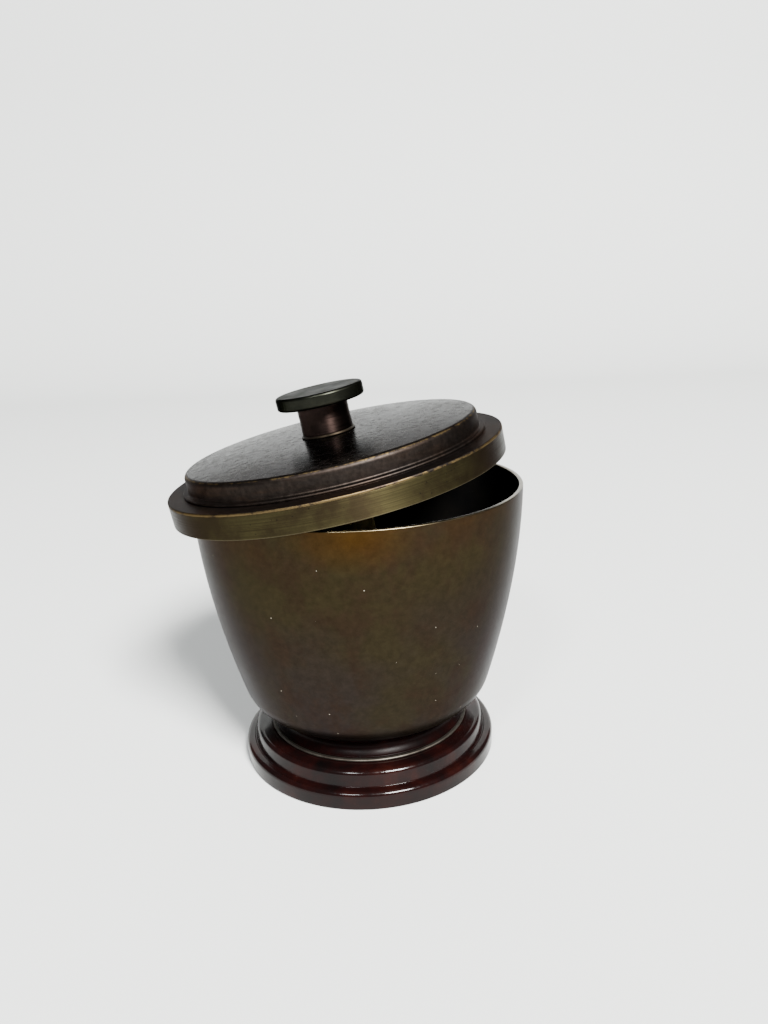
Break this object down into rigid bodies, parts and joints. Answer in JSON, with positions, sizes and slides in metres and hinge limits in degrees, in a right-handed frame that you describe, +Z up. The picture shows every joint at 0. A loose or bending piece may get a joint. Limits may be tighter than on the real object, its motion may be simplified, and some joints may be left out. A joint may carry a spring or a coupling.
{
  "type": "inkwell",
  "caption": "Lidded bronze inkwell: a tapering bowl on a stepped foot, with a loose flat-topped lid set ajar, a disc knob, a cork stopper under the lid and a glass ink well inside.",
  "frame": {"origin": "centre of the face it rests on", "axes": "+Z up along the bowl's axis; the lid leans along X, with its low side at -X; -Y faces the viewer"},
  "size_m": [0.0852, 0.0814, 0.0947],
  "materials": {
    "bowl_bronze": "satin mottled brown patina",
    "foot_lacquer": "glossy oxblood lacquer",
    "cove_bronze": "dark bronze patina",
    "lid_bronze": "dark chocolate patina, semi-gloss",
    "brushed_brass": "brushed, tarnished",
    "knob_bronze": "dark grey-green patina",
    "stem_bronze": "dark red-brown patina",
    "bare_brass": "turned, tarnished",
    "steel": "plain",
    "cork": "cork",
    "well_glass": "clear pressed glass",
    "baize": "green baize"
  },
  "bodies": {
    "pot": {"body_shell": "bowl_bronze", "neck_collar": "cove_bronze", "neck_ring": "bare_brass", "foot_plinth": "foot_lacquer", "felt_pad": "baize", "foot_bolt": "bare_brass", "foot_washer": "steel", "floor_washer": "steel", "floor_nut": "bare_brass", "well_seat": "cork"},
    "well": {"glass_well": "well_glass"},
    "lid": {"lid_top": "lid_bronze", "lid_band": "brushed_brass", "knob_head": "knob_bronze", "knob_stem": "stem_bronze", "knob_washer": "bare_brass", "knob_stud": "bare_brass", "lid_washer": "bare_brass", "stopper_rod": "bare_brass", "stopper_cork": "cork", "stopper_screw": "bare_brass"}
  },
  "joints": [
    {"name": "well_lift", "type": "slide", "parent": "pot", "child": "well", "axis": [0, 0, 1], "range_m": [0, 0.07]},
    {"name": "lid_lift", "type": "slide", "parent": "well", "child": "lid", "axis": [0, 0, 1], "range_m": [0, 0.06]}
  ]
}
